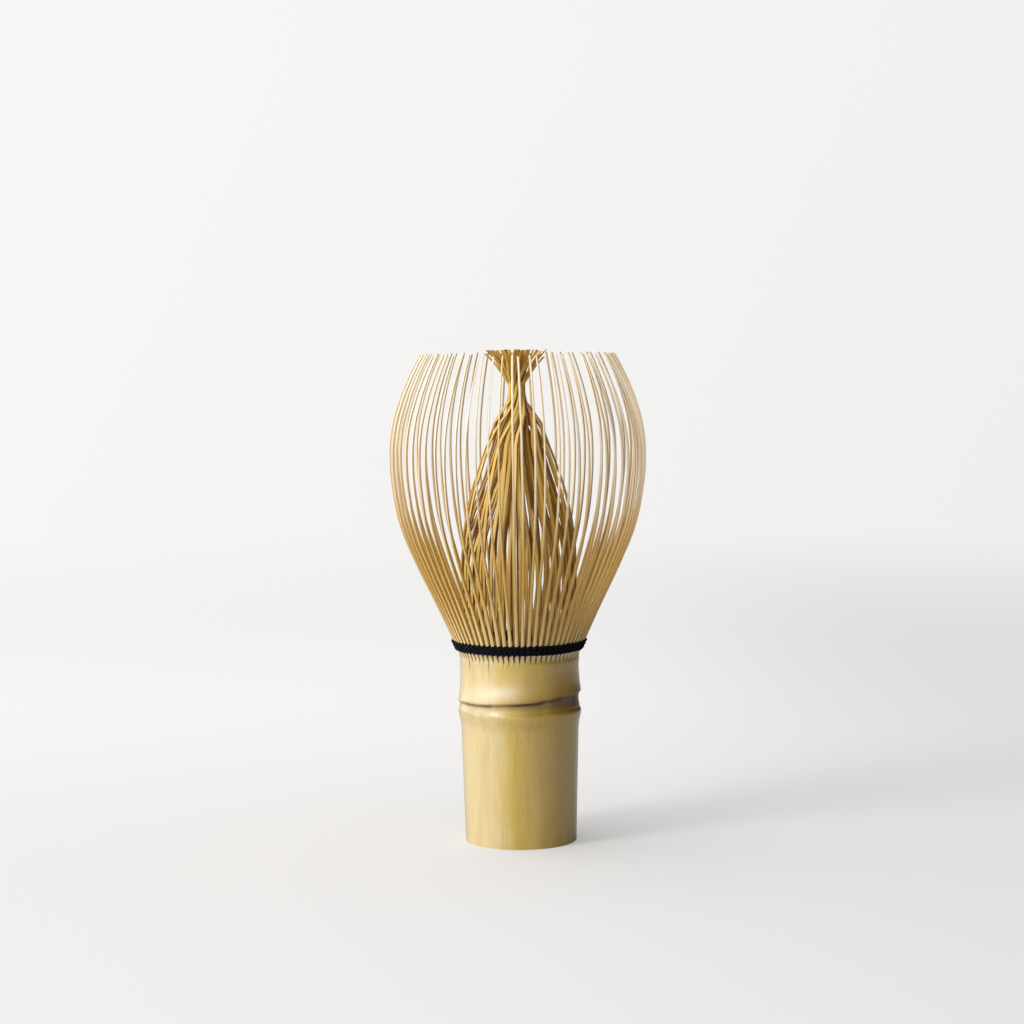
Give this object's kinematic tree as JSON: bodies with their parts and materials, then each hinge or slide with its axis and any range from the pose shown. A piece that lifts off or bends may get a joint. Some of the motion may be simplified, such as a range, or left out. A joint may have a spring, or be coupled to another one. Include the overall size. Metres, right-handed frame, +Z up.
{
  "type": "tea whisk",
  "caption": "Bamboo tea whisk: a hollow cane grip with a node, split above it into a springy cage of pared tines round a twisted inner sheaf, bound at the root with dark thread.",
  "frame": {"origin": "middle of the foot, on the surface that the whisk stands on", "axes": "+Z up along the cane, from the foot to the tine tips; -Y is the front; +X is to the right of the front"},
  "size_m": [0.06, 0.0598, 0.115],
  "materials": {
    "culm": "smooth natural cane skin, semi-gloss",
    "outer_tine": "pared bamboo, satin, paler towards the tip",
    "inner_tine": "pared bamboo, matt to satin, golden",
    "thread": "two-ply cotton thread, matt"
  },
  "bodies": {
    "root": {"culm_handle": "culm", "inner_tines_1": "inner_tine", "inner_tines_2": "inner_tine", "inner_tines_3": "inner_tine", "inner_tines_4": "inner_tine", "inner_tines_5": "inner_tine", "inner_tines_6": "inner_tine", "inner_tines_7": "inner_tine", "thread_first_row": "thread", "thread_second_row": "thread", "thread_third_row": "thread", "thread_knot": "thread"},
    "outer_pair_01": {"outer_tines_01": "outer_tine"},
    "outer_pair_02": {"outer_tines_02": "outer_tine"},
    "outer_pair_03": {"outer_tines_03": "outer_tine"},
    "outer_pair_04": {"outer_tines_04": "outer_tine"},
    "outer_pair_05": {"outer_tines_05": "outer_tine"},
    "outer_pair_06": {"outer_tines_06": "outer_tine"},
    "outer_pair_07": {"outer_tines_07": "outer_tine"},
    "outer_pair_08": {"outer_tines_08": "outer_tine"},
    "outer_pair_09": {"outer_tines_09": "outer_tine"},
    "outer_pair_10": {"outer_tines_10": "outer_tine"},
    "outer_pair_11": {"outer_tines_11": "outer_tine"},
    "outer_pair_12": {"outer_tines_12": "outer_tine"},
    "outer_pair_13": {"outer_tines_13": "outer_tine"},
    "outer_pair_14": {"outer_tines_14": "outer_tine"},
    "outer_pair_15": {"outer_tines_15": "outer_tine"},
    "outer_pair_16": {"outer_tines_16": "outer_tine"},
    "outer_pair_17": {"outer_tines_17": "outer_tine"},
    "outer_pair_18": {"outer_tines_18": "outer_tine"},
    "outer_pair_19": {"outer_tines_19": "outer_tine"},
    "outer_pair_20": {"outer_tines_20": "outer_tine"},
    "outer_pair_21": {"outer_tines_21": "outer_tine"},
    "outer_pair_22": {"outer_tines_22": "outer_tine"},
    "outer_pair_23": {"outer_tines_23": "outer_tine"},
    "outer_pair_24": {"outer_tines_24": "outer_tine"},
    "outer_pair_25": {"outer_tines_25": "outer_tine"},
    "outer_pair_26": {"outer_tines_26": "outer_tine"},
    "outer_pair_27": {"outer_tines_27": "outer_tine"},
    "outer_pair_28": {"outer_tines_28": "outer_tine"},
    "outer_pair_29": {"outer_tines_29": "outer_tine"},
    "outer_pair_30": {"outer_tines_30": "outer_tine"},
    "outer_pair_31": {"outer_tines_31": "outer_tine"},
    "outer_pair_32": {"outer_tines_32": "outer_tine"},
    "outer_pair_33": {"outer_tines_33": "outer_tine"},
    "outer_pair_34": {"outer_tines_34": "outer_tine"},
    "outer_pair_35": {"outer_tines_35": "outer_tine"}
  },
  "joints": [
    {"name": "flex_01", "type": "hinge", "parent": "root", "child": "outer_pair_01", "pos_m": [0.01507, 0.00068, 0.04759], "axis": [0.0449, -0.999, 0], "range_deg": [-4, 6], "stiffness_Nm_per_rad": 0.003},
    {"name": "flex_02", "type": "hinge", "parent": "root", "child": "outer_pair_02", "pos_m": [0.01471, 0.00336, 0.04759], "axis": [0.2225, -0.9749, 0], "range_deg": [-4, 6], "stiffness_Nm_per_rad": 0.003},
    {"name": "flex_03", "type": "hinge", "parent": "root", "child": "outer_pair_03", "pos_m": [0.01387, 0.00593, 0.04759], "axis": [0.393, -0.9195, 0], "range_deg": [-4, 6], "stiffness_Nm_per_rad": 0.003},
    {"name": "flex_04", "type": "hinge", "parent": "root", "child": "outer_pair_04", "pos_m": [0.01259, 0.00831, 0.04759], "axis": [0.5509, -0.8346, 0], "range_deg": [-4, 6], "stiffness_Nm_per_rad": 0.003},
    {"name": "flex_05", "type": "hinge", "parent": "root", "child": "outer_pair_05", "pos_m": [0.0109, 0.01042, 0.04759], "axis": [0.6911, -0.7228, 0], "range_deg": [-4, 6], "stiffness_Nm_per_rad": 0.003},
    {"name": "flex_06", "type": "hinge", "parent": "root", "child": "outer_pair_06", "pos_m": [0.00887, 0.0122, 0.04759], "axis": [0.809, -0.5878, 0], "range_deg": [-4, 6], "stiffness_Nm_per_rad": 0.003},
    {"name": "flex_07", "type": "hinge", "parent": "root", "child": "outer_pair_07", "pos_m": [0.00654, 0.01359, 0.04759], "axis": [0.901, -0.4339, 0], "range_deg": [-4, 6], "stiffness_Nm_per_rad": 0.003},
    {"name": "flex_08", "type": "hinge", "parent": "root", "child": "outer_pair_08", "pos_m": [0.00401, 0.01454, 0.04759], "axis": [0.964, -0.266, 0], "range_deg": [-4, 6], "stiffness_Nm_per_rad": 0.003},
    {"name": "flex_09", "type": "hinge", "parent": "root", "child": "outer_pair_09", "pos_m": [0.00135, 0.01502, 0.04759], "axis": [0.996, -0.0896, 0], "range_deg": [-4, 6], "stiffness_Nm_per_rad": 0.003},
    {"name": "flex_10", "type": "hinge", "parent": "root", "child": "outer_pair_10", "pos_m": [-0.00135, 0.01502, 0.04759], "axis": [0.996, 0.0896, 0], "range_deg": [-4, 6], "stiffness_Nm_per_rad": 0.003},
    {"name": "flex_11", "type": "hinge", "parent": "root", "child": "outer_pair_11", "pos_m": [-0.00401, 0.01454, 0.04759], "axis": [0.964, 0.266, 0], "range_deg": [-4, 6], "stiffness_Nm_per_rad": 0.003},
    {"name": "flex_12", "type": "hinge", "parent": "root", "child": "outer_pair_12", "pos_m": [-0.00654, 0.01359, 0.04759], "axis": [0.901, 0.4339, 0], "range_deg": [-4, 6], "stiffness_Nm_per_rad": 0.003},
    {"name": "flex_13", "type": "hinge", "parent": "root", "child": "outer_pair_13", "pos_m": [-0.00887, 0.0122, 0.04759], "axis": [0.809, 0.5878, 0], "range_deg": [-4, 6], "stiffness_Nm_per_rad": 0.003},
    {"name": "flex_14", "type": "hinge", "parent": "root", "child": "outer_pair_14", "pos_m": [-0.0109, 0.01042, 0.04759], "axis": [0.6911, 0.7228, 0], "range_deg": [-4, 6], "stiffness_Nm_per_rad": 0.003},
    {"name": "flex_15", "type": "hinge", "parent": "root", "child": "outer_pair_15", "pos_m": [-0.01259, 0.00831, 0.04759], "axis": [0.5509, 0.8346, 0], "range_deg": [-4, 6], "stiffness_Nm_per_rad": 0.003},
    {"name": "flex_16", "type": "hinge", "parent": "root", "child": "outer_pair_16", "pos_m": [-0.01387, 0.00593, 0.04759], "axis": [0.393, 0.9195, 0], "range_deg": [-4, 6], "stiffness_Nm_per_rad": 0.003},
    {"name": "flex_17", "type": "hinge", "parent": "root", "child": "outer_pair_17", "pos_m": [-0.01471, 0.00336, 0.04759], "axis": [0.2225, 0.9749, 0], "range_deg": [-4, 6], "stiffness_Nm_per_rad": 0.003},
    {"name": "flex_18", "type": "hinge", "parent": "root", "child": "outer_pair_18", "pos_m": [-0.01507, 0.00068, 0.04759], "axis": [0.0449, 0.999, 0], "range_deg": [-4, 6], "stiffness_Nm_per_rad": 0.003},
    {"name": "flex_19", "type": "hinge", "parent": "root", "child": "outer_pair_19", "pos_m": [-0.01495, -0.00202, 0.04759], "axis": [-0.1342, 0.9909, 0], "range_deg": [-4, 6], "stiffness_Nm_per_rad": 0.003},
    {"name": "flex_20", "type": "hinge", "parent": "root", "child": "outer_pair_20", "pos_m": [-0.01435, -0.00466, 0.04759], "axis": [-0.309, 0.9511, 0], "range_deg": [-4, 6], "stiffness_Nm_per_rad": 0.003},
    {"name": "flex_21", "type": "hinge", "parent": "root", "child": "outer_pair_21", "pos_m": [-0.01328, -0.00715, 0.04759], "axis": [-0.4739, 0.8806, 0], "range_deg": [-4, 6], "stiffness_Nm_per_rad": 0.003},
    {"name": "flex_22", "type": "hinge", "parent": "root", "child": "outer_pair_22", "pos_m": [-0.01179, -0.00941, 0.04759], "axis": [-0.6235, 0.7818, 0], "range_deg": [-4, 6], "stiffness_Nm_per_rad": 0.003},
    {"name": "flex_23", "type": "hinge", "parent": "root", "child": "outer_pair_23", "pos_m": [-0.00992, -0.01136, 0.04759], "axis": [-0.7531, 0.6579, 0], "range_deg": [-4, 6], "stiffness_Nm_per_rad": 0.003},
    {"name": "flex_24", "type": "hinge", "parent": "root", "child": "outer_pair_24", "pos_m": [-0.00774, -0.01295, 0.04759], "axis": [-0.8584, 0.5129, 0], "range_deg": [-4, 6], "stiffness_Nm_per_rad": 0.003},
    {"name": "flex_25", "type": "hinge", "parent": "root", "child": "outer_pair_25", "pos_m": [-0.0053, -0.01412, 0.04759], "axis": [-0.9362, 0.3514, 0], "range_deg": [-4, 6], "stiffness_Nm_per_rad": 0.003},
    {"name": "flex_26", "type": "hinge", "parent": "root", "child": "outer_pair_26", "pos_m": [-0.00269, -0.01484, 0.04759], "axis": [-0.9839, 0.1786, 0], "range_deg": [-4, 6], "stiffness_Nm_per_rad": 0.003},
    {"name": "flex_27", "type": "hinge", "parent": "root", "child": "outer_pair_27", "pos_m": [0, -0.01508, 0.04759], "axis": [-1, 0, 0], "range_deg": [-4, 6], "stiffness_Nm_per_rad": 0.003},
    {"name": "flex_28", "type": "hinge", "parent": "root", "child": "outer_pair_28", "pos_m": [0.00269, -0.01484, 0.04759], "axis": [-0.9839, -0.1786, 0], "range_deg": [-4, 6], "stiffness_Nm_per_rad": 0.003},
    {"name": "flex_29", "type": "hinge", "parent": "root", "child": "outer_pair_29", "pos_m": [0.0053, -0.01412, 0.04759], "axis": [-0.9362, -0.3514, 0], "range_deg": [-4, 6], "stiffness_Nm_per_rad": 0.003},
    {"name": "flex_30", "type": "hinge", "parent": "root", "child": "outer_pair_30", "pos_m": [0.00774, -0.01295, 0.04759], "axis": [-0.8584, -0.5129, 0], "range_deg": [-4, 6], "stiffness_Nm_per_rad": 0.003},
    {"name": "flex_31", "type": "hinge", "parent": "root", "child": "outer_pair_31", "pos_m": [0.00992, -0.01136, 0.04759], "axis": [-0.7531, -0.6579, 0], "range_deg": [-4, 6], "stiffness_Nm_per_rad": 0.003},
    {"name": "flex_32", "type": "hinge", "parent": "root", "child": "outer_pair_32", "pos_m": [0.01179, -0.00941, 0.04759], "axis": [-0.6235, -0.7818, 0], "range_deg": [-4, 6], "stiffness_Nm_per_rad": 0.003},
    {"name": "flex_33", "type": "hinge", "parent": "root", "child": "outer_pair_33", "pos_m": [0.01328, -0.00715, 0.04759], "axis": [-0.4739, -0.8806, 0], "range_deg": [-4, 6], "stiffness_Nm_per_rad": 0.003},
    {"name": "flex_34", "type": "hinge", "parent": "root", "child": "outer_pair_34", "pos_m": [0.01435, -0.00466, 0.04759], "axis": [-0.309, -0.9511, 0], "range_deg": [-4, 6], "stiffness_Nm_per_rad": 0.003},
    {"name": "flex_35", "type": "hinge", "parent": "root", "child": "outer_pair_35", "pos_m": [0.01495, -0.00202, 0.04759], "axis": [-0.1342, -0.9909, 0], "range_deg": [-4, 6], "stiffness_Nm_per_rad": 0.003}
  ]
}
